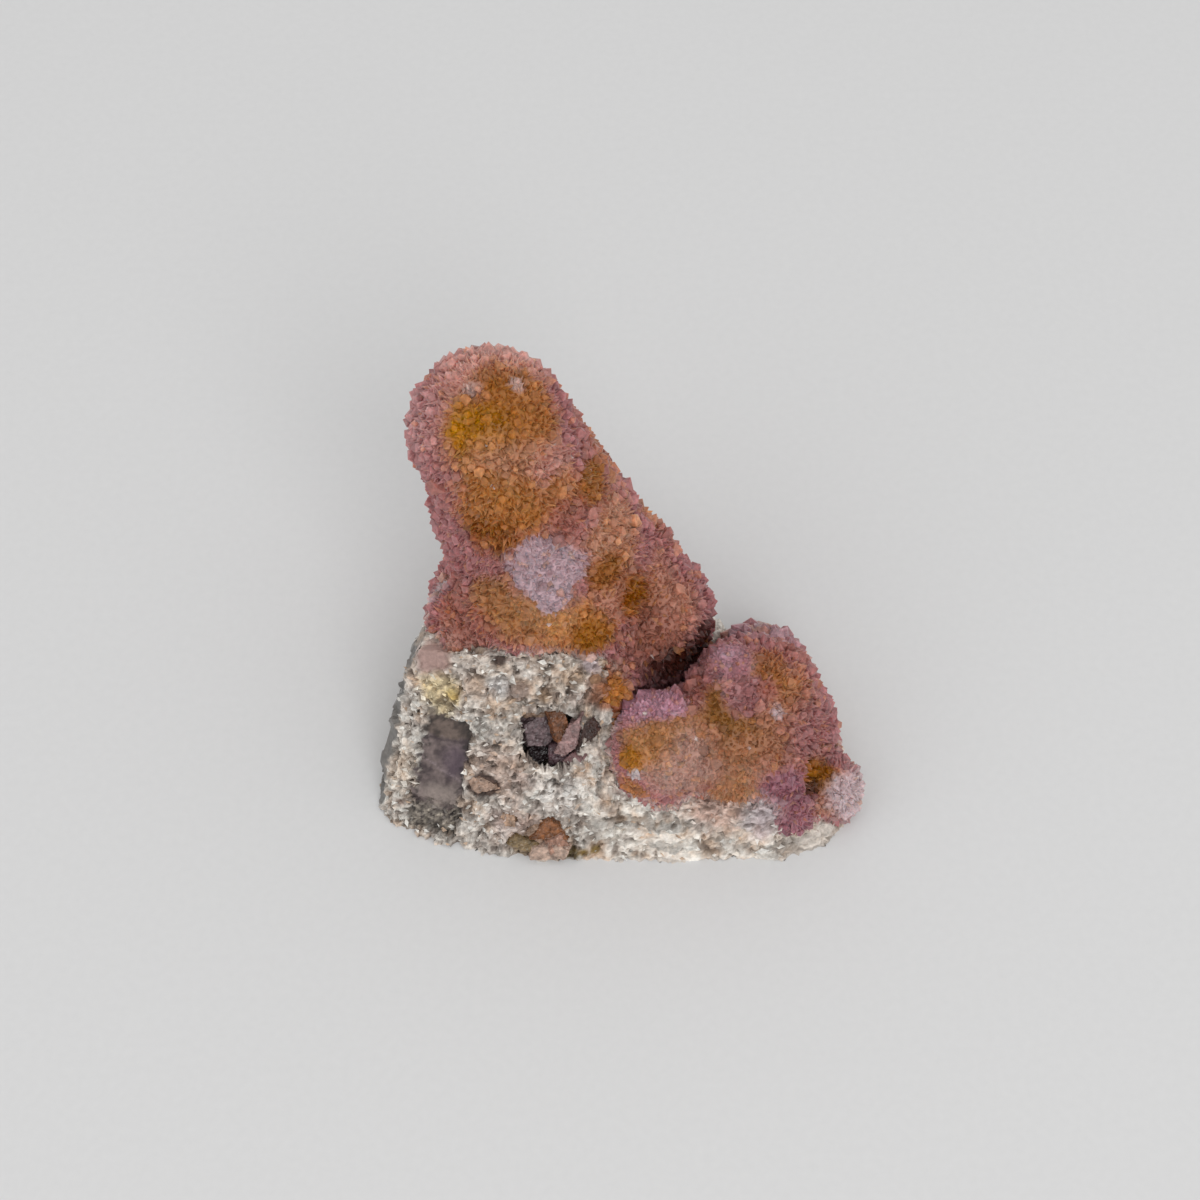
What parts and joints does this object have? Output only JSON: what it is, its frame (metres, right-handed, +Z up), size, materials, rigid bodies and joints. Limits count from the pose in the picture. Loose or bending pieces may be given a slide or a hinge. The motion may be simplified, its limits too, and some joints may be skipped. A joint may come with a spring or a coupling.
{
  "type": "spirit quartz specimen",
  "caption": "Cluster of spirit quartz: a tall leaning spire and a low group of spires, both coated in small crystals, on a flat-bottomed lump of pale matrix.",
  "frame": {"origin": "a point near the middle of the flat underside of the matrix", "axes": "+Z up, square to the underside; the pictured side, with the bare matrix, faces -Y; the low spires are towards +X"},
  "size_m": [0.0624, 0.0445, 0.0593],
  "materials": {
    "matrix_quartz": "rough granular",
    "tall_druse": "sparkling crystal druse",
    "short_druse": "sparkling crystal druse"
  },
  "bodies": {
    "root": {"matrix": "matrix_quartz", "tall_spire": "tall_druse", "short_spires": "short_druse"}
  },
  "joints": []
}
